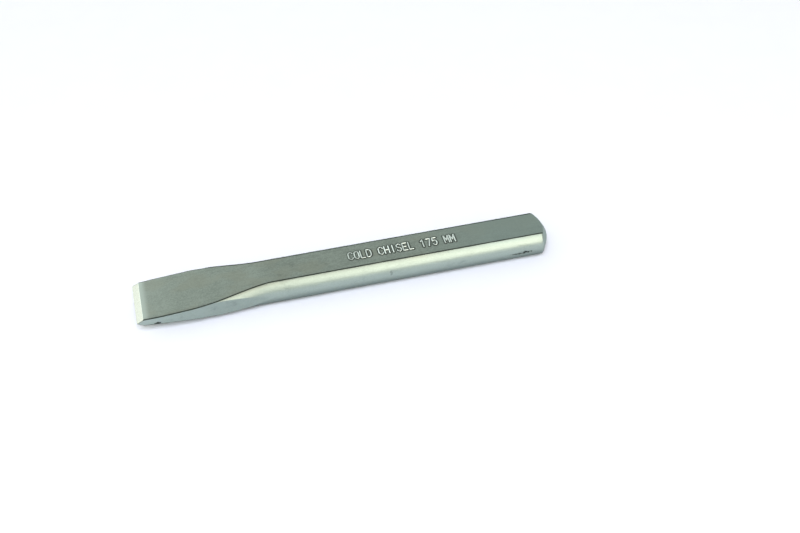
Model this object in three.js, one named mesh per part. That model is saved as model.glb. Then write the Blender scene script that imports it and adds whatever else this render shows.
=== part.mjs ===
// A cold chisel, forged in one piece from a bar of flat-oval tool steel.
// It lies on its lower flat: X runs from the cutting edge (-X) to the striking head (+X),
// Y runs across the blade and Z through the thickness, with the origin under the middle of the bar.

import * as THREE from 'three';
import { mergeVertices, toCreasedNormals } from 'three/addons/utils/BufferGeometryUtils.js';

// Driving dimensions in millimetres. A station is a distance along the chisel from its cutting edge.
const LENGTH = 175;
const STOCK_WIDTH = 19.5;
const STOCK_THICKNESS = 12;
const SIDE_RADIUS = 7;          // the bar's two rounded sides; thinner sections have smaller ones
const EDGE_WIDTH = 21;          // the blade at its cutting edge
const BLADE_WIDTH = 22;         // the blade where forging spread it most
const BLADE_WIDEST_AT = 11.6;
const BLADE_LIFT = 0.3;         // forged by hand, the blade's middle is this far above the bar's
const EDGE_LAND = 0.15;         // the blunt land that grinding leaves on the cutting edge
const BEVEL_LENGTH = 2.7;
const BEVEL_THICKNESS = 3.45;   // the blade where its ground bevels begin
const NECK_START = 22;          // the blade narrows to the bar between these two stations
const NECK_END = 56.1;
const FLANK_REACH = 10.7;       // the blade's upright flanks run on into the neck, drawing in from
const FLANK_END = 45;           // this reach where the neck starts to the bar's own reach here
const WEDGE_END = 53.9;         // the wedge faces meet the bar's flats here
const WEDGE_HOLLOW = 1.2;       // a power that hollows the wedge faces a little: 1 would be flat
const SHANK_END = 168;          // the last plain section, just short of the head
const HEAD_SLOPE = 0.61;        // the head's cone falls back this far for each millimetre outwards
const CROWN_RADIUS = 5.2;       // the crown rounds off the middle of the cone
const HEAD_OFFSET = -0.7;       // ground by hand, the head is this far off the bar's axis in Y and in Z

// How finely the curved stretches are divided.
const BLADE_STEPS = 4;
const NECK_STEPS = 18;
const HEAD_STEPS = 10;
const FLAT_STEPS = 4;
const ARC_STEPS = 9;
const SMALLEST_FLANK_ANGLE = THREE.MathUtils.degToRad(3);

const HALF_STOCK_WIDTH = STOCK_WIDTH / 2;
const HALF_STOCK_THICKNESS = STOCK_THICKNESS / 2;
const WELD_DISTANCE = 1e-4;
const CREASE_ANGLE = THREE.MathUtils.degToRad(12);

const { lerp, mapLinear, smoothstep } = THREE.MathUtils;

// Half the width of a flat, where a side arc of this radius and this furthest reach meets it.
function flatHalfWidth(reach, radius, thickness) {
  return reach - radius + Math.sqrt(radius ** 2 - thickness ** 2);
}

const HALF_FLAT_WIDTH = flatHalfWidth(HALF_STOCK_WIDTH, SIDE_RADIUS, HALF_STOCK_THICKNESS);

// The blade swells a little behind its edge, where the hammer spread it.
function bladeHalfWidth(station) {
  const swell = Math.sin(Math.min(station / BLADE_WIDEST_AT, 1) * Math.PI / 2);
  return lerp(EDGE_WIDTH, BLADE_WIDTH, swell) / 2;
}

// Half the width of the upper face, between its two creases.
function creaseHalfWidth(station) {
  return lerp(bladeHalfWidth(station), HALF_FLAT_WIDTH, smoothstep(station, NECK_START, NECK_END));
}

// Bevels up to the shoulder, then slightly hollow wedge faces up to the bar's own thickness.
function halfThickness(station) {
  const land = EDGE_LAND / 2;
  const shoulder = BEVEL_THICKNESS / 2;
  if (station <= BEVEL_LENGTH) {
    return mapLinear(station, 0, BEVEL_LENGTH, land, shoulder);
  }
  const share = Math.min(mapLinear(station, BEVEL_LENGTH, WEDGE_END, 0, 1), 1);
  return lerp(shoulder, HALF_STOCK_THICKNESS, share ** WEDGE_HOLLOW);
}

// The height of a section's middle.
function middleHeight(station) {
  return HALF_STOCK_THICKNESS + lerp(BLADE_LIFT, 0, smoothstep(station, NECK_START, NECK_END));
}

// Half of a section's outline, from the middle of its upper face round one side to the middle of
// its lower face. The side is an arc down from the crease, and an upright flank where the arc
// would stand out further than the flank.
function halfOutline(crease, thickness, radius, flank) {
  const centre = crease - Math.sqrt(radius ** 2 - thickness ** 2);
  const creaseAngle = Math.asin(thickness / radius);
  const flankReach = Math.min((flank - centre) / radius, 1);
  const flankAngle = Math.min(Math.max(Math.acos(flankReach), SMALLEST_FLANK_ANGLE), creaseAngle);
  const upper = [];
  for (let step = 0; step < FLAT_STEPS; step += 1) {
    upper.push({ y: crease * step / FLAT_STEPS, z: thickness });
  }
  for (let step = 0; step <= ARC_STEPS; step += 1) {
    const angle = lerp(creaseAngle, flankAngle, step / ARC_STEPS);
    upper.push({ y: centre + radius * Math.cos(angle), z: radius * Math.sin(angle) });
  }
  const lower = upper.map(({ y, z }) => ({ y, z: -z })).reverse();
  return [...upper, ...lower];
}

// A whole section: the half outline on one side, and its mirror image back up the other side.
function sectionRing(station, outline) {
  const mirrored = outline.map(({ y, z }) => ({ y: -y, z })).reverse();
  return [...outline, ...mirrored].map(({ y, z }) => (
    new THREE.Vector3(station - LENGTH / 2, y, z + middleHeight(station))
  ));
}

// How far out the upright flanks stand.
function flankReach(station, crease) {
  const share = Math.min(Math.max(mapLinear(station, NECK_START, FLANK_END, 0, 1), 0), 1);
  return Math.max(crease, lerp(FLANK_REACH, HALF_STOCK_WIDTH, share));
}

function forgedRing(station) {
  const crease = creaseHalfWidth(station);
  const thickness = halfThickness(station);
  const radius = SIDE_RADIUS * thickness / HALF_STOCK_THICKNESS;
  const flank = flankReach(station, crease);
  return sectionRing(station, halfOutline(crease, thickness, radius, flank));
}

// How far along the chisel the head's ground face is, at this distance from the head's own axis.
function headStation(distance) {
  if (distance < CROWN_RADIUS) {
    return LENGTH - HEAD_SLOPE * distance ** 2 / (2 * CROWN_RADIUS);
  }
  return LENGTH - HEAD_SLOPE * (distance - CROWN_RADIUS / 2);
}

// The bar's outline, drawn in to a share of its size around the head's axis, on the ground face.
function headRing(share) {
  const axisZ = HALF_STOCK_THICKNESS + HEAD_OFFSET;
  const ring = forgedRing(SHANK_END);
  for (const point of ring) {
    point.y = lerp(HEAD_OFFSET, point.y, share);
    point.z = lerp(axisZ, point.z, share);
    const distance = Math.hypot(point.y - HEAD_OFFSET, point.z - axisZ);
    point.x = headStation(distance) - LENGTH / 2;
  }
  return ring;
}

// Equal steps from one station to the next, without the last one.
function steps(from, to, count) {
  return Array.from({ length: count }, (_, index) => lerp(from, to, index / count));
}

function forgedStations() {
  return [
    0,
    ...steps(BEVEL_LENGTH, BLADE_WIDEST_AT, BLADE_STEPS),
    ...steps(BLADE_WIDEST_AT, NECK_START, 2),
    ...steps(NECK_START, WEDGE_END, NECK_STEPS),
    WEDGE_END,
    NECK_END,
    SHANK_END,
  ];
}

// Two triangles for each pair of neighbouring points on two neighbouring rings.
function wallTriangles(ringCount, pointCount) {
  const triangles = [];
  for (let first = 0; first < (ringCount - 1) * pointCount; first += pointCount) {
    for (let point = 0; point < pointCount; point += 1) {
      const a = first + point;
      const b = first + (point + 1) % pointCount;
      triangles.push([a, b + pointCount, b], [a, a + pointCount, b + pointCount]);
    }
  }
  return triangles;
}

// Closes the first ring, which faces -X, with upright strips, each from a point to its twin below.
function edgeTriangles(pointCount) {
  const triangles = [];
  const half = pointCount / 2;
  for (const start of [0, half]) {
    for (let step = 0; step < half / 2 - 1; step += 1) {
      const near = start + step;
      const far = start + half - 1 - step;
      triangles.push([near + 1, far - 1, far], [near, near + 1, far]);
    }
  }
  return triangles;
}

function skinOver(rings) {
  const pointCount = rings[0].length;
  const triangles = [...edgeTriangles(pointCount), ...wallTriangles(rings.length, pointCount)];
  const positions = rings.flat().flatMap((point) => point.toArray());
  const skin = new THREE.BufferGeometry();
  skin.setAttribute('position', new THREE.Float32BufferAttribute(positions, 3));
  skin.setIndex(triangles.flat());
  return skin;
}

// Where a section has no arc, and at the top of the head, points fall together: they are welded,
// and the empty triangles between them are dropped.
function weld(skin) {
  const welded = mergeVertices(skin, WELD_DISTANCE);
  const corners = Array.from(welded.getIndex().array);
  const kept = [];
  for (let first = 0; first < corners.length; first += 3) {
    const triangle = corners.slice(first, first + 3);
    if (new Set(triangle).size === 3) {
      kept.push(...triangle);
    }
  }
  welded.setIndex(kept);
  return welded;
}

function forgedBody() {
  const headShares = [...steps(1, 0, HEAD_STEPS), 0];
  const rings = [...forgedStations().map(forgedRing), ...headShares.map(headRing)];
  return toCreasedNormals(weld(skinOver(rings)), CREASE_ANGLE);
}

const platedSteel = new THREE.MeshStandardMaterial({ color: 0x9daaa5, roughness: 0.42, metalness: 0.9 });

const chiselBody = new THREE.Mesh(forgedBody(), platedSteel);
chiselBody.name = 'chisel_body';

const coldChisel = new THREE.Group();
coldChisel.name = 'cold_chisel';
coldChisel.add(chiselBody);

export default coldChisel;
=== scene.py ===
"""The looks of a cold chisel: a finer skin over its CAD body, with its materials, a floor, lights
and a camera."""

import math

import bmesh
import bpy
import numpy as np
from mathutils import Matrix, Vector


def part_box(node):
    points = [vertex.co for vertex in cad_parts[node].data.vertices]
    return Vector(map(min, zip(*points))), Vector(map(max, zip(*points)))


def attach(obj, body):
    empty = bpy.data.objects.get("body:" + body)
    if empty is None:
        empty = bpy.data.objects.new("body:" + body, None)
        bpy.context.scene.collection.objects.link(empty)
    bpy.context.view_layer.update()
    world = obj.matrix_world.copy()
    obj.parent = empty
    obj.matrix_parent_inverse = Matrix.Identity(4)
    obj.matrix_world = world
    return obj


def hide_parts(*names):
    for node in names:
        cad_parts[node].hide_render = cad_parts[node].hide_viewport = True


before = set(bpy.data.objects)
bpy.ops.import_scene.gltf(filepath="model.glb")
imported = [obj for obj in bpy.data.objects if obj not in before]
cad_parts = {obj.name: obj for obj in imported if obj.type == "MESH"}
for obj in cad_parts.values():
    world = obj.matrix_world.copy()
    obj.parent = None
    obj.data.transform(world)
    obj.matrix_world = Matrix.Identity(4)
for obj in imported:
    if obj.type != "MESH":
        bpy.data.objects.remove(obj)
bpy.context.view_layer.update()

# ---------------------------------------------------------------------------------------------
# Sizes. Lengths are in millimetres, as in the CAD source, until a mesh or a lamp is made.
# A station is a distance along the chisel from its cutting edge.
# ---------------------------------------------------------------------------------------------

MM = 0.001
lowest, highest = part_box("chisel_body")
LENGTH, BLADE_WIDTH, STOCK_THICKNESS = [side / MM for side in highest - lowest]

STOCK_WIDTH = 19.5
SIDE_RADIUS = 7.0
EDGE_WIDTH = 21.0
BLADE_WIDEST_AT = 11.6
BLADE_LIFT = 0.3           # forged by hand, the blade's middle is this far above the bar's
EDGE_LAND = 0.15
BEVEL_LENGTH = 2.7
BEVEL_THICKNESS = 3.45
SHOULDER_EASE = 0.05       # how softly the bevels run into the wedge faces
NECK_START = 22.0
NECK_END = 56.1
FLANK_REACH = 10.7         # how far out the blade's upright flanks stand where the neck starts
FLANK_END = 45.0           # they have drawn in to the bar's own reach at this station
WEDGE_END = 53.9
WEDGE_HOLLOW = 1.2         # a power that hollows the wedge faces a little: 1 would be flat
WEDGE_EASE = 0.15          # how softly the wedge faces run into the bar's flats
CREASE_RADIUS = 0.35       # the slightly rounded creases between the flats and the sides
SHANK_END = 168.0
HEAD_SLOPE = 0.61          # the head's cone falls back this far for each millimetre outwards
CROWN_RADIUS = 5.2         # the crown rounds off the middle of the cone
HEAD_OFFSET = -0.7         # ground by hand, the head is this far off the bar's axis in Y and in Z
RIM_EASE = 0.75            # the width of the worn rim between the bar's surface and the head

HALF_STOCK_WIDTH = STOCK_WIDTH / 2
HALF_STOCK_THICKNESS = STOCK_THICKNESS / 2
FLAT_REACH = math.sqrt(SIDE_RADIUS ** 2 - HALF_STOCK_THICKNESS ** 2)
HALF_FLAT_WIDTH = HALF_STOCK_WIDTH - SIDE_RADIUS + FLAT_REACH

# The raised mark forged into the upper flat: a generic description, in block letters.
MARK_TEXT = "COLD CHISEL 175 MM"
MARK_START = 88.3
MARK_END = 134.6
MARK_HEIGHT = 4.1
MARK_RELIEF = 0.25
MARK_STROKE = 0.1          # half the width of a stroke's level top
MARK_SLOPE = 0.32          # the width of a stroke's sloping side
MARK_SHADE_REACH = 0.6           # how far the painted shade beside a stroke reaches from its foot
LETTER_SHARE = 0.7         # the share of a letter's pitch that the letter fills
STRIKE_FADE = 9.0          # the mark was struck unevenly: its first letters are fainter
FAINTEST = 0.6

# How finely the skin is divided.
MARK_PITCH = 0.15
MARK_MARGIN = 0.9
BEVEL_STEPS = 9
BLADE_STEPS = 14
NECK_STEPS = 54
SHANK_PITCH = 4.0
FLAT_STEPS = 6
CREASE_STEPS = 7
ARC_STEPS = 14
FLANK_STEPS = 4
SHOULDER_SPAN = 0.3        # rings are close together this far on both sides of the bevels' end
NECK_RUNOUT = 2.0          # and this far past the neck
TURN_STEP = 15             # degrees of a letter's curve from point to point
RIM_STEPS = 6
HEAD_STEPS = 20
WELD_DISTANCE = 1e-4
SHARP_ANGLE = math.radians(20)
MIDDLE_SHARE = 0.6         # where a flat is narrow, its closely divided middle takes this share


def mix(low, high, share):
    return low + (high - low) * share


def ease(value, low, high):
    """0 below low, 1 above high, and a smooth rise between."""
    share = min(max((value - low) / (high - low), 0.0), 1.0)
    return share * share * (3 - 2 * share)


def steps(start, end, count):
    """Equal steps from start to end, without the last one."""
    return [mix(start, end, index / count) for index in range(count)]


def softer_min(a, b, softness):
    return (a + b - math.hypot(a - b, softness)) / 2


# ---------------------------------------------------------------------------------------------
# The chisel's shape, station by station
# ---------------------------------------------------------------------------------------------

def crease_half_width(station):
    """Half the width of the upper face, between its two creases."""
    swell = math.sin(min(station / BLADE_WIDEST_AT, 1) * math.pi / 2)
    blade = mix(EDGE_WIDTH, BLADE_WIDTH, swell) / 2
    return mix(blade, HALF_FLAT_WIDTH, ease(station, NECK_START, NECK_END))


def half_thickness(station):
    """Bevels up to the shoulder, then wedge faces that run softly into the bar's flats."""
    shoulder = BEVEL_THICKNESS / 2
    bevel = mix(EDGE_LAND / 2, shoulder, station / BEVEL_LENGTH)
    share = max((station - BEVEL_LENGTH) / (WEDGE_END - BEVEL_LENGTH), 0.0)
    wedge = mix(shoulder, HALF_STOCK_THICKNESS, share ** WEDGE_HOLLOW)
    body = softer_min(wedge, HALF_STOCK_THICKNESS, WEDGE_EASE)
    return softer_min(bevel, body, SHOULDER_EASE)


def middle_height(station):
    """The height of a section's middle."""
    return HALF_STOCK_THICKNESS + mix(BLADE_LIFT, 0.0, ease(station, NECK_START, NECK_END))


def side_outline(crease, thickness, radius, flank):
    """One side of a section, from its upper crease down to its widest point.

    A small round at the crease, an arc down the side, and an upright flank where the arc would
    stand out further than the flank.
    """
    centre = crease - math.sqrt(radius ** 2 - thickness ** 2)
    small = min(CREASE_RADIUS, thickness / 2)
    low = thickness - small
    meet = math.asin(low / (radius - small))
    small_centre = centre + (radius - small) * math.cos(meet)
    if small_centre + small * math.cos(meet) > flank:
        small_centre = flank - small
        meet = 0.0
    points = []
    for step in range(CREASE_STEPS + 1):
        angle = mix(math.pi / 2, meet, step / CREASE_STEPS)
        points.append((small_centre + small * math.cos(angle), low + small * math.sin(angle)))
    clipped = math.acos(min((flank - centre) / radius, 1.0))
    for step in range(1, ARC_STEPS + 1):
        angle = mix(meet, min(clipped, meet), step / ARC_STEPS)
        if meet > 0:
            points.append((centre + radius * math.cos(angle), radius * math.sin(angle)))
        else:
            points.append(points[-1])
    end_y, end_z = points[-1]
    for step in range(1, FLANK_STEPS + 1):
        points.append((end_y, end_z * (1 - step / FLANK_STEPS)))
    return points


def flat_columns(reach):
    """Columns across an upper flat from -reach to reach, close together where the mark is. There
    are equally many at every reach."""
    half_mark = MARK_HEIGHT / 2 + MARK_MARGIN
    inner = min(half_mark, reach * MIDDLE_SHARE)
    count = round(half_mark / MARK_PITCH)
    middle = [mix(-inner, inner, index / (2 * count)) for index in range(2 * count + 1)]
    outer = steps(-reach, -inner, FLAT_STEPS)
    return outer[1:] + middle + [-y for y in reversed(outer[1:])]


UPPER_COUNT = len(flat_columns(HALF_FLAT_WIDTH))
LOWER_COUNT = 2 * FLAT_STEPS - 1
SIDE_STEPS = 2 * (CREASE_STEPS + ARC_STEPS + FLANK_STEPS)


def ring(station, side):
    """A whole section in the part's frame, in millimetres: over the upper flat from -Y to +Y,
    down the +Y side, back under the lower flat, and up the -Y side."""
    reach, top = side[0]
    upper = [(y, top) for y in flat_columns(reach)]
    lower = [(y, -top) for y in steps(reach, -reach, 2 * FLAT_STEPS)[1:]]
    right = side + [(y, -z) for y, z in reversed(side[:-1])]
    left = [(-y, z) for y, z in reversed(right)]
    outline = upper + right + lower + left
    return [(station - LENGTH / 2, y, z + middle_height(station)) for y, z in outline]


def flank_reach(station, crease):
    """How far out the upright flanks stand."""
    share = min(max((station - NECK_START) / (FLANK_END - NECK_START), 0.0), 1.0)
    return max(crease, mix(FLANK_REACH, HALF_STOCK_WIDTH, share))


def forged_ring(station):
    crease = crease_half_width(station)
    thickness = half_thickness(station)
    radius = SIDE_RADIUS * thickness / HALF_STOCK_THICKNESS
    return ring(station, side_outline(crease, thickness, radius, flank_reach(station, crease)))


def head_station(distance):
    """How far along the chisel the head's ground face is, at distances from the head's own axis."""
    crown = LENGTH - HEAD_SLOPE * distance ** 2 / (2 * CROWN_RADIUS)
    cone = LENGTH - HEAD_SLOPE * (distance - CROWN_RADIUS / 2)
    return np.where(distance < CROWN_RADIUS, crown, cone)


def head_rings():
    """From the end of the shank over the rounded rim, then inwards to the top of the crown."""
    outline = np.array(forged_ring(SHANK_END))[:, 1:]
    axis = np.array([HEAD_OFFSET, HALF_STOCK_THICKNESS + HEAD_OFFSET])
    distance = np.hypot(*(outline - axis).T)
    outwards = (outline - axis) / distance[:, None]

    def on_face(distances):
        across = axis + outwards * distances[:, None]
        return np.column_stack([head_station(distances) - LENGTH / 2, across])

    corner = on_face(distance)
    before = corner - (RIM_EASE, 0, 0)
    after = on_face(distance - RIM_EASE)
    rings = []
    for share in steps(0, 1, RIM_STEPS):
        rings.append(mix(mix(before, corner, share), mix(corner, after, share), share))
    for share in steps(1, 0, HEAD_STEPS) + [0]:
        rings.append(on_face((distance - RIM_EASE) * share))
    return rings


def forged_stations():
    """Close together over the bevels, the neck and the mark, and further apart elsewhere."""
    mark_from = MARK_START - MARK_MARGIN
    mark_to = MARK_END + MARK_MARGIN
    neck_to = NECK_END + NECK_RUNOUT
    shank = [(neck_to, mark_from), (mark_to, SHANK_END)]
    spaced = [steps(low, high, math.ceil((high - low) / SHANK_PITCH)) for low, high in shank]
    return [
        *steps(0, BEVEL_LENGTH - SHOULDER_SPAN, BEVEL_STEPS),
        *steps(BEVEL_LENGTH - SHOULDER_SPAN, BEVEL_LENGTH + SHOULDER_SPAN, BEVEL_STEPS),
        *steps(BEVEL_LENGTH + SHOULDER_SPAN, NECK_START, BLADE_STEPS),
        *steps(NECK_START, neck_to, NECK_STEPS),
        *spaced[0],
        *steps(mark_from, mark_to, round((mark_to - mark_from) / MARK_PITCH)),
        *spaced[1],
        SHANK_END,
    ]


# ---------------------------------------------------------------------------------------------
# The mark
# ---------------------------------------------------------------------------------------------

def turn_of(centre_x, centre_y, radius_x, radius_y, start, end):
    """Points along part of an ellipse, from one angle in degrees to another."""
    count = max(3, round(abs(end - start) / TURN_STEP))
    angles = [math.radians(mix(start, end, index / count)) for index in range(count + 1)]
    return [(centre_x + radius_x * math.cos(a), centre_y + radius_y * math.sin(a)) for a in angles]


# Each letter's strokes, in a box one unit wide and one unit high.
GLYPHS = {
    "C": [turn_of(0.5, 0.7, 0.5, 0.3, 15, 180) + turn_of(0.5, 0.3, 0.5, 0.3, 180, 345)],
    "O": [turn_of(0.5, 0.7, 0.5, 0.3, 0, 180) + turn_of(0.5, 0.3, 0.5, 0.3, 180, 360) + [(1, 0.7)]],
    "L": [[(0, 1), (0, 0), (0.9, 0)]],
    "D": [[(0, 0), (0, 1)] + turn_of(0.4, 0.65, 0.6, 0.35, 90, 0) + turn_of(0.4, 0.35, 0.6, 0.35, 0, -90)
          + [(0, 0)]],
    "H": [[(0, 0), (0, 1)], [(1, 0), (1, 1)], [(0, 0.5), (1, 0.5)]],
    "I": [[(0.5, 0), (0.5, 1)]],
    "S": [turn_of(0.5, 0.76, 0.48, 0.24, 15, 270) + turn_of(0.5, 0.26, 0.5, 0.26, 75, -165)],
    "E": [[(0.95, 1), (0, 1), (0, 0), (0.95, 0)], [(0, 0.52), (0.8, 0.52)]],
    "1": [[(0.1, 0.76), (0.55, 1), (0.55, 0)]],
    "7": [[(0, 1), (1, 1), (0.4, 0)]],
    "5": [[(0.92, 1), (0.12, 1), (0.06, 0.58)] + turn_of(0.48, 0.33, 0.5, 0.33, 125, -150)],
    "M": [[(0, 0), (0, 1), (0.5, 0.35), (1, 1), (1, 0)]],
}


def mark_segments():
    """The strokes' straight pieces, as rows of x, y, x, y on the upper flat."""
    pitch = (MARK_END - MARK_START) / len(MARK_TEXT)
    width = pitch * LETTER_SHARE
    rows = []
    for place, letter in enumerate(MARK_TEXT):
        left = MARK_START - LENGTH / 2 + pitch * place + (pitch - width) / 2
        for stroke in GLYPHS.get(letter, []):
            points = [(left + x * width, (y - 0.5) * MARK_HEIGHT) for x, y in stroke]
            rows += [(*a, *b) for a, b in zip(points, points[1:])]
    return np.array(rows)


def stroke_distance(points):
    """The distance from each point on the upper flat to the nearest stroke."""
    nearest = np.full(len(points), np.inf)
    for ax, ay, bx, by in mark_segments():
        along = np.array([bx - ax, by - ay])
        offset = points - (ax, ay)
        share = np.clip(offset @ along / (along @ along), 0, 1)
        nearest = np.minimum(nearest, np.hypot(*(offset - share[:, None] * along).T))
    return nearest


def mark_relief(rings):
    """How far each point of each ring stands proud of the upper flat, as a share of the full relief,
    and how much painted shade lies beside the strokes, in place of the shadow at their feet."""
    station = rings[:, :, 0] + LENGTH / 2
    marked = (station > MARK_START - MARK_MARGIN) & (station < MARK_END + MARK_MARGIN)
    marked[:, UPPER_COUNT:] = False
    foot = MARK_STROKE + MARK_SLOPE
    distance = stroke_distance(rings[marked][:, :2])
    share = np.clip((foot - distance) / MARK_SLOPE, 0, 1)
    strike = mix(FAINTEST, 1, np.clip((station[marked] - MARK_START) / STRIKE_FADE, 0, 1))
    relief = np.zeros(station.shape)
    relief[marked] = share * share * (3 - 2 * share) * strike
    # Painted shade about each stroke's foot, standing in for the shadow beside the raised strokes.
    stroke_shade = np.zeros(station.shape)
    stroke_shade[marked] = np.clip(1 - np.abs(distance - foot) / MARK_SHADE_REACH, 0, 1) * strike
    return relief, stroke_shade


# ---------------------------------------------------------------------------------------------
# The mesh
# ---------------------------------------------------------------------------------------------

def crease_distances(rings):
    """How far each point is from the nearest crease, measured across its section. The ground face
    of the head has no creases, so its points count as far from one."""
    middle = CREASE_STEPS // 2
    starts = [UPPER_COUNT, UPPER_COUNT + SIDE_STEPS + 1 + LOWER_COUNT]
    creases = [start + offset for start in starts for offset in (middle, SIDE_STEPS - middle)]
    closed = np.concatenate([rings, rings[:, :1]], axis=1)
    gaps = np.linalg.norm(np.diff(closed, axis=1), axis=2)
    travelled = np.cumsum(gaps, axis=1)
    around = travelled[:, -1:, None]
    places = np.concatenate([np.zeros((len(rings), 1)), travelled[:, :-1]], axis=1)
    away = np.abs(places[:, :, None] - places[:, None, creases])
    nearest = np.minimum(away, around - away).min(axis=2)
    nearest[-HEAD_STEPS - RIM_STEPS // 2:] = HALF_STOCK_WIDTH
    return nearest


def head_share(rings):
    """1 on the ground face of the head, and 0 on the bar."""
    share = np.zeros(rings.shape[:2])
    share[-HEAD_STEPS - 1 - RIM_STEPS // 2:] = 1
    return share


def skin_faces(ring_count, point_count):
    """A face for each pair of neighbouring points on two neighbouring rings, and one that closes
    the first ring. The last ring closes itself, because its points fall together."""
    faces = []
    for first in range(0, (ring_count - 1) * point_count, point_count):
        for point in range(point_count):
            a = first + point
            b = first + (point + 1) % point_count
            faces.append((a, b, b + point_count, a + point_count))
    faces.append(tuple(reversed(range(point_count))))
    return faces


def store(mesh, name, values):
    """Keeps a value for each point, for the materials to read."""
    attribute = mesh.attributes.new(name, "FLOAT", "POINT")
    attribute.data.foreach_set("value", values.astype(np.float32).ravel())


def weld(mesh):
    """Joins the points that fall together, and drops the empty faces between them."""
    shell = bmesh.new()
    shell.from_mesh(mesh)
    bmesh.ops.remove_doubles(shell, verts=shell.verts, dist=WELD_DISTANCE * MM)
    bmesh.ops.recalc_face_normals(shell, faces=shell.faces)
    shell.to_mesh(mesh)
    shell.free()


def chisel_mesh():
    rings = np.array([forged_ring(station) for station in forged_stations()] + head_rings())
    relief, stroke_shade = mark_relief(rings)
    rings[:, :, 2] += relief * MARK_RELIEF
    mesh = bpy.data.meshes.new("chisel")
    mesh.from_pydata((rings.reshape(-1, 3) * MM).tolist(), [], skin_faces(*rings.shape[:2]))
    store(mesh, "relief", relief)
    store(mesh, "stroke_shade", stroke_shade)
    store(mesh, "crease_distance", crease_distances(rings))
    store(mesh, "head_share", head_share(rings))
    weld(mesh)
    mesh.shade_smooth()
    mesh.set_sharp_from_angle(angle=SHARP_ANGLE)
    return mesh


# ---------------------------------------------------------------------------------------------
# Materials
# ---------------------------------------------------------------------------------------------

class Graph:
    """A short way to build a node tree: add() makes a node, fills or links its inputs, and gives
    one of its outputs, by number or name."""

    def __init__(self, tree):
        self.tree = tree
        self.tree.nodes.clear()

    def add(self, kind, output=0, settings=(), **inputs):
        node = self.tree.nodes.new(kind)
        for name, value in dict(settings).items():
            setattr(node, name, value)
        for name, value in inputs.items():
            key = int(name[1:]) if name[0] == "_" else name.replace("_", " ")
            self.join(value, node.inputs[key])
        return node.outputs[output] if node.outputs else None

    def join(self, value, socket):
        if isinstance(value, bpy.types.NodeSocket):
            self.tree.links.new(value, socket)
        else:
            socket.default_value = value

    def math(self, operation, *values):
        inputs = {f"_{index}": value for index, value in enumerate(values)}
        return self.add("ShaderNodeMath", settings={"operation": operation}, **inputs)

    def noise(self, vector, scale, detail=3.0, roughness=0.5):
        return self.add("ShaderNodeTexNoise", Vector=vector, Scale=scale, Detail=detail,
                        Roughness=roughness)

    def stretch(self, vector, x, y, z):
        return self.add("ShaderNodeMapping", Vector=vector, Scale=(x, y, z))

    def remap(self, value, low, high, new_low, new_high):
        """Maps a range smoothly to another, and holds at its ends."""
        settings = {"interpolation_type": "SMOOTHSTEP"}
        return self.add("ShaderNodeMapRange", settings=settings, Value=value, From_Min=low,
                        From_Max=high, To_Min=new_low, To_Max=new_high)

    def blend(self, share, first, second):
        """A mix of two colours."""
        node = self.tree.nodes.new("ShaderNodeMix")
        node.data_type = "RGBA"
        self.join(share, node.inputs[0])
        self.join(first, node.inputs[6])
        self.join(second, node.inputs[7])
        return node.outputs[2]


def new_material(name):
    material = bpy.data.materials.new(name)
    material.use_nodes = True
    return material, Graph(material.node_tree)


def attribute_of(graph, name):
    return graph.add("ShaderNodeAttribute", output="Fac", settings={"attribute_name": name})


def position_of(graph):
    """The place of a point in the part's frame, in metres."""
    return graph.add("ShaderNodeTexCoord", output="Object")


def station_of(graph, position):
    """The distance from the cutting edge, in millimetres."""
    x = graph.add("ShaderNodeSeparateXYZ", Vector=position)
    return graph.math("MULTIPLY_ADD", x, 1 / MM, LENGTH / 2)


# Scuffs in the plating: place in the part's frame, then length, width and height, in millimetres,
# and how dark each one is.
SCUFFS = [
    ((-79.3, -10.9, 5.1), (3.4, 1.5, 1.2), 0.9),
    ((-82.2, -10.9, 4.7), (4.5, 1.5, 0.6), 0.8),
    ((17.0, -9.9, 8.0), (1.2, 1.5, 2.8), 0.3),
    ((72.0, -9.7, 5.5), (6.8, 1.5, 1.3), 0.7),
    ((75.9, -9.7, 5.9), (4.4, 1.5, 1.7), 0.95),
]


def scuff_mask(graph, position):
    """How dark the scuffs are at each point, with ragged edges."""
    ragged = graph.remap(graph.noise(position, 900), 0.3, 0.7, -0.5, 0.5)
    darkest = 0.0
    for (x, y, z), (length, width, height), darkness in SCUFFS:
        offset = graph.add("ShaderNodeVectorMath", settings={"operation": "SUBTRACT"},
                           _0=position, _1=(x * MM, y * MM, z * MM))
        sized = graph.stretch(offset, *(2 / (side * MM) for side in (length, width, height)))
        distance = graph.add("ShaderNodeVectorMath", output="Value",
                             settings={"operation": "LENGTH"}, _0=sized)
        mark = graph.remap(graph.math("ADD", distance, ragged), 0.5, 1.1, darkness, 0.0)
        darkest = graph.math("MAXIMUM", mark, darkest)
    return darkest


GLANCING_TINT = (0.6, 0.63, 0.62, 1)


def finish_metal(graph, colour, roughness, normal):
    """A metal that stays darker than most at a glancing angle."""
    shader = graph.add("ShaderNodeBsdfPrincipled", Metallic=1.0, Base_Color=colour,
                       Roughness=roughness, Normal=normal, Specular_Tint=GLANCING_TINT)
    graph.add("ShaderNodeOutputMaterial", Surface=shader)


def bumped(graph, height, distance, normal=None):
    """A bump of this depth in millimetres, on top of another one."""
    inputs = {} if normal is None else {"Normal": normal}
    return graph.add("ShaderNodeBump", Height=height, Distance=distance * MM, Strength=1.0, **inputs)


PLATING = (0.31, 0.375, 0.338, 1)
PLATING_LIGHT = (0.39, 0.469, 0.424, 1)
PLATING_BLUE = (0.325, 0.435, 0.42, 1)
PLATING_WARM = (0.365, 0.41, 0.345, 1)
PLATING_WORN = (0.6, 0.71, 0.66, 1)
# The mark's rubbed tops: worn bare, and lighter than bare steel as a painted highlight.
MARK_WORN_AND_HIGHLIGHT = (0.83, 0.95, 0.92, 1)
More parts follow.
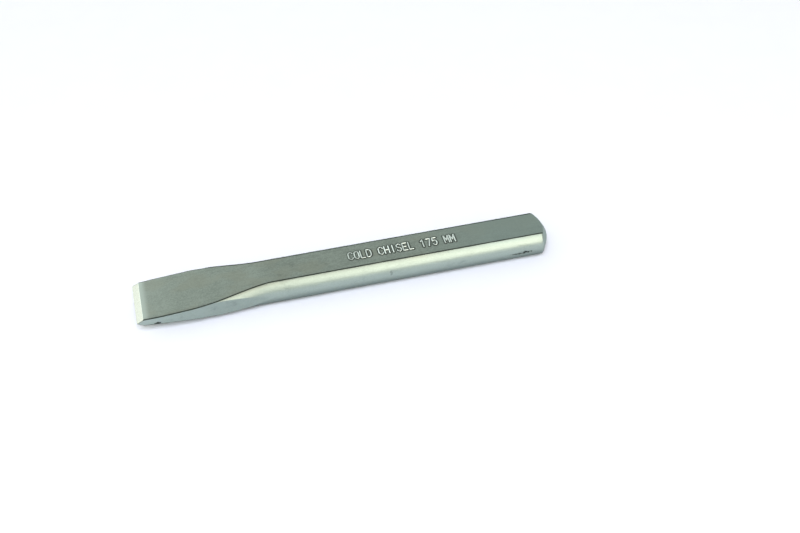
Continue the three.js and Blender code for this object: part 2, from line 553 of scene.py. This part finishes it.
# Near-black: the colour of real stains and scuffs, and also of the painted shade on the down-turned
# sides and head, beside the mark's strokes and along the creases.
TARNISH_AND_SHADE = (0.035, 0.042, 0.038, 1)
# How dark the painted shade gets along the creases and beside the mark's strokes.
DARKEST_CREASE = 0.88
DARKEST_STROKE_SHADE = 0.85

# Stations between which the plating changes, in millimetres from the cutting edge.
BAND_START = BEVEL_LENGTH + 0.6
BAND_END = BEVEL_LENGTH + 3.2
WEAR_END = 20
DARKER_NECK_START = 32
DARKER_NECK_END = 42
DARKER_NECK_FADED = 58
BLUE_START = 115
BLUE_FULL = 155


def upwardness_of(graph):
    """1 where the surface faces straight up, and -1 where it faces straight down."""
    normal = graph.add("ShaderNodeNewGeometry", output="Normal")
    return graph.add("ShaderNodeSeparateXYZ", output="Z", Vector=normal)


def flat_share(graph, upwardness):
    """1 on the upper flat and the blade's upper face, and 0 on the sides and underneath."""
    return graph.remap(upwardness, 0.6, 0.9, 0.0, 1.0)


def plating_tone(graph, position, mottle):
    """The plating's light and dark speckle, mottle and streaks, around a half."""
    speckle = graph.noise(graph.stretch(position, 1500, 2300, 2300), 1, detail=2)
    streaks = graph.noise(graph.stretch(position, 120, 900, 900), 1, detail=3)
    tone = graph.math("MULTIPLY_ADD", streaks, 0.25, graph.math("MULTIPLY", mottle, 0.2))
    return graph.math("MULTIPLY_ADD", speckle, 0.55, tone)


def plating_colour(graph, position, station, upwardness, tone):
    """The plating itself, less speckled on the sides than on the flats, with warmer patches, faint
    stains and a bluer stretch of flat towards the head."""
    patches = graph.noise(graph.stretch(position, 60, 110, 110), 1, detail=3)
    stains = graph.noise(graph.stretch(position, 160, 260, 260), 1, detail=5, roughness=0.7)
    flat = flat_share(graph, upwardness)
    warm = graph.math("MULTIPLY", graph.remap(patches, 0.45, 0.6, 0.0, 0.5), flat)
    blue = graph.math("MULTIPLY", graph.remap(station, BLUE_START, BLUE_FULL, 0.0, 0.6), flat)
    lightness = graph.math("SUBTRACT", graph.remap(tone, 0.42, 0.58, 0.0, 1.0), 0.5)
    contrast = graph.remap(upwardness, 0.85, 0.95, 0.3, 1.0)
    lightness = graph.math("MULTIPLY_ADD", lightness, contrast, 0.5)
    colour = graph.blend(lightness, PLATING, PLATING_LIGHT)
    colour = graph.blend(warm, colour, PLATING_WARM)
    colour = graph.blend(graph.remap(stains, 0.54, 0.74, 0.0, 0.22), colour, TARNISH_AND_SHADE)
    return graph.blend(blue, colour, PLATING_BLUE)


def polished_band(graph, station, upwardness):
    """1 on the strip of the blade's upper face just behind the bevel, which wear keeps bright."""
    band = graph.remap(station, BAND_START, BAND_END, 1.0, 0.0)
    return graph.math("MULTIPLY", band, flat_share(graph, upwardness))


def polish(graph, colour, station, band):
    """Wear: the front of the blade a little lighter, and the polished band lightest."""
    front = graph.remap(station, BEVEL_LENGTH, WEAR_END, 0.17, 0.0)
    colour = graph.blend(front, colour, PLATING_WORN)
    return graph.blend(band, colour, PLATING_WORN)


def shade_low_and_darken_neck(graph, colour, station, upwardness):
    """Painted shade where the sides and the head turn down, and the sides of the neck darker."""
    # Painted shade low on the sides, in place of the shaded floor close to the chisel that they reflect.
    sides = graph.remap(upwardness, -0.95, -0.8, 0.0, 0.45)
    sides = graph.math("MULTIPLY", sides, graph.remap(upwardness, -0.5, 0.15, 1.0, 0.0))
    # Painted shade where the head's face turns down, in place of the shaded floor that it reflects.
    head = attribute_of(graph, "head_share")
    head = graph.math("MULTIPLY", head, graph.remap(upwardness, -0.45, 0.1, 0.6, 0.0))
    neck = graph.remap(upwardness, 0.85, 0.9, 0.19, 0.0)
    neck = graph.math("MULTIPLY", neck, graph.remap(upwardness, 0.0, 0.2, 0.3, 1.0))
    rise = graph.remap(station, NECK_START, DARKER_NECK_START, 0.0, 1.0)
    fall = graph.remap(station, DARKER_NECK_END, DARKER_NECK_FADED, 1.0, 0.0)
    neck = graph.math("MULTIPLY", graph.math("MULTIPLY", neck, rise), fall)
    for share in (sides, head, neck):
        colour = graph.blend(share, colour, TARNISH_AND_SHADE)
    return colour


def mark_and_creases(graph, colour, mottle):
    """Painted shade beside the mark's strokes, rubbed tops on them made lighter by a painted highlight,
    and painted shade of uneven width along the creases.
    """
    # Painted shade beside the strokes.
    stroke_shade = graph.remap(attribute_of(graph, "stroke_shade"), 0.0, 0.9, 0.0, DARKEST_STROKE_SHADE)
    rubbed = graph.remap(attribute_of(graph, "relief"), 0.3, 0.7, 0.0, 1.0)
    uneven = graph.math("MULTIPLY_ADD", mottle, 0.25, attribute_of(graph, "crease_distance"))
    colour = graph.blend(stroke_shade, colour, TARNISH_AND_SHADE)
    # Rubbed tops of the strokes: real wear, lightened further as a painted highlight.
    colour = graph.blend(rubbed, colour, MARK_WORN_AND_HIGHLIGHT)
    # Painted shade along the creases, in place of the dark line at their rounded edges.
    return graph.blend(graph.remap(uneven, 0.3, 0.55, DARKEST_CREASE, 0.0), colour, TARNISH_AND_SHADE)


def plated_steel():
    """Satin plating over forged steel, with painted shade low down, in its creases and beside the mark's
    strokes, rubbed on the mark and the blade with a painted highlight on the mark's tops, and scuffed
    here and there."""
    material, graph = new_material("plated_steel")
    position = position_of(graph)
    station = station_of(graph, position)
    upwardness = upwardness_of(graph)
    mottle = graph.noise(position, 140, detail=4)
    tone = plating_tone(graph, position, mottle)
    band = polished_band(graph, station, upwardness)
    scuffs = scuff_mask(graph, position)

    colour = plating_colour(graph, position, station, upwardness, tone)
    colour = polish(graph, colour, station, band)
    colour = shade_low_and_darken_neck(graph, colour, station, upwardness)
    colour = mark_and_creases(graph, colour, mottle)
    colour = graph.blend(scuffs, colour, TARNISH_AND_SHADE)

    roughness = graph.remap(tone, 0.3, 0.7, 0.37, 0.33)
    roughness = graph.math("MULTIPLY_ADD", band, -0.06, roughness)
    roughness = graph.math("MULTIPLY_ADD", scuffs, 0.25, roughness)

    ripple = graph.noise(graph.stretch(position, 90, 160, 160), 1, detail=1)
    grain = graph.noise(graph.stretch(position, 2200, 3400, 3400), 1, detail=2)
    normal = bumped(graph, ripple, 0.03)
    normal = bumped(graph, grain, 0.012, normal)
    normal = bumped(graph, graph.math("MULTIPLY", scuffs, -1.0), 0.08, normal)
    finish_metal(graph, colour, roughness, normal)
    return material


GROUND = (0.545, 0.585, 0.525, 1)
GROUND_LIGHT = (0.59, 0.63, 0.57, 1)


def ground_steel():
    """Bare steel with fine grinding lines that run across the bevels, up to the cutting edge."""
    material, graph = new_material("ground_steel")
    position = position_of(graph)
    lines = graph.noise(graph.stretch(position, 300, 9000, 300), 1, detail=3)
    cloud = graph.noise(position, 300, detail=3)
    tone = graph.math("MULTIPLY_ADD", lines, 0.6, graph.math("MULTIPLY", cloud, 0.4))
    colour = graph.blend(graph.remap(tone, 0.3, 0.7, 0, 1), GROUND, GROUND_LIGHT)
    roughness = graph.remap(tone, 0.3, 0.7, 0.24, 0.32)
    finish_metal(graph, colour, roughness, bumped(graph, lines, 0.006))
    return material


PAPER = (0.90, 0.905, 0.91, 1)
PAPER_LIGHT = (0.93, 0.935, 0.94, 1)


def floor_paper():
    """Pale studio paper with a very faint tooth."""
    material, graph = new_material("floor_paper")
    tooth = graph.noise(position_of(graph), 60, detail=4)
    colour = graph.blend(tooth, PAPER, PAPER_LIGHT)
    shader = graph.add("ShaderNodeBsdfPrincipled", Base_Color=colour, Roughness=0.9,
                       Specular_IOR_Level=0.1, Normal=bumped(graph, tooth, 0.02))
    graph.add("ShaderNodeOutputMaterial", Surface=shader)
    return material


# ---------------------------------------------------------------------------------------------
# The chisel, the floor, the lights and the camera
# ---------------------------------------------------------------------------------------------

def add_object(name, data):
    made = bpy.data.objects.new(name, data)
    bpy.context.scene.collection.objects.link(made)
    return made


def make_chisel():
    mesh = chisel_mesh()
    mesh.materials.append(plated_steel())
    mesh.materials.append(ground_steel())
    shoulder = (BEVEL_LENGTH - LENGTH / 2) * MM
    for face in mesh.polygons:
        face.material_index = int(face.center.x < shoulder and abs(face.normal.z) > 0.5)
    chisel = add_object("chisel_skin", mesh)
    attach(chisel, "root")
    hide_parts("chisel_body")


FLOOR_SIZE = 4.0           # metres


def make_floor():
    mesh = bpy.data.meshes.new("floor")
    sheet = bmesh.new()
    bmesh.ops.create_grid(sheet, x_segments=8, y_segments=8, size=FLOOR_SIZE / 2)
    sheet.to_mesh(mesh)
    sheet.free()
    mesh.materials.append(floor_paper())
    add_object("floor", mesh)


def direction(azimuth, elevation):
    """A unit vector. Azimuth 0 points along -Y and 90 along +X; both angles are in degrees."""
    a, e = math.radians(azimuth), math.radians(elevation)
    return Vector((math.sin(a) * math.cos(e), -math.cos(a) * math.cos(e), math.sin(e)))


def softbox(name, azimuth, elevation, distance, size, radiance, tint):
    """A soft lamp aimed at the chisel. Distance and size are in metres."""
    lamp = bpy.data.lights.new(name, "AREA")
    lamp.shape = "RECTANGLE"
    lamp.size, lamp.size_y = size
    lamp.energy = radiance * math.pi * size[0] * size[1]
    lamp.color = tint
    made = add_object(name, lamp)
    towards = direction(azimuth, elevation)
    made.location = towards * distance
    made.rotation_mode = "QUATERNION"
    made.rotation_quaternion = towards.to_track_quat("Z", "Y")
    return made


def light_studio():
    """A big box behind the camera and a small one beyond the cutting edge, which show only as
    reflections, and a soft front light for the floor, which shows in no reflection."""
    key = softbox("key", azimuth=26, elevation=37.5, distance=1.0, size=(0.77, 1.1),
                  radiance=2.13, tint=(1.10, 0.99, 0.86))
    edge = softbox("edge", azimuth=-139, elevation=27, distance=1.2, size=(0.7, 0.5),
                   radiance=1.08, tint=(0.98, 1, 0.95))
    for shown in (key, edge):
        shown.visible_diffuse = False
    front = softbox("front", azimuth=-14, elevation=60, distance=1.6, size=(0.9, 0.9),
                    radiance=7.4, tint=(0.96, 1, 1.2))
    front.visible_glossy = False


ROOM_BRIGHT = 0.825
ROOM_DIM = 0.2
ROOM_TINT = (0.99, 1, 0.955, 1)


def world_light():
    """A room that is dim overhead and brighter lower down, and a little brighter on the left."""
    world = bpy.data.worlds.new("studio")
    bpy.context.scene.world = world
    world.use_nodes = True
    graph = Graph(world.node_tree)
    towards = graph.add("ShaderNodeTexCoord", output="Generated")
    upwards = graph.add("ShaderNodeSeparateXYZ", output="Z", Vector=towards)
    rightwards = graph.add("ShaderNodeSeparateXYZ", output="X", Vector=towards)
    height = graph.remap(upwards, 0.6, 1.0, ROOM_BRIGHT, ROOM_DIM)
    strength = graph.math("MULTIPLY", height, graph.remap(rightwards, -1.0, 1.0, 1.25, 0.75))
    shader = graph.add("ShaderNodeBackground", Color=ROOM_TINT, Strength=strength)
    graph.add("ShaderNodeOutputWorld", Surface=shader)


# Angles are in degrees; the distance, the lens and the aim are in millimetres.
CAMERA_AZIMUTH = -14.34
CAMERA_ELEVATION = 45.56
CAMERA_DISTANCE = 472.4
CAMERA_LENS = 52.63
CAMERA_AIM = (19.16, -15.59, 17.06)


def make_camera():
    lens = bpy.data.cameras.new("camera")
    lens.lens = CAMERA_LENS
    lens.clip_start = 0.01
    camera = add_object("camera", lens)
    back = direction(CAMERA_AZIMUTH, CAMERA_ELEVATION)
    camera.location = (Vector(CAMERA_AIM) + back * CAMERA_DISTANCE) * MM
    camera.rotation_mode = "QUATERNION"
    camera.rotation_quaternion = back.to_track_quat("Z", "Y")
    bpy.context.scene.camera = camera


make_chisel()
make_floor()
light_studio()
world_light()
make_camera()
bpy.context.scene.view_settings.view_transform = "Standard"
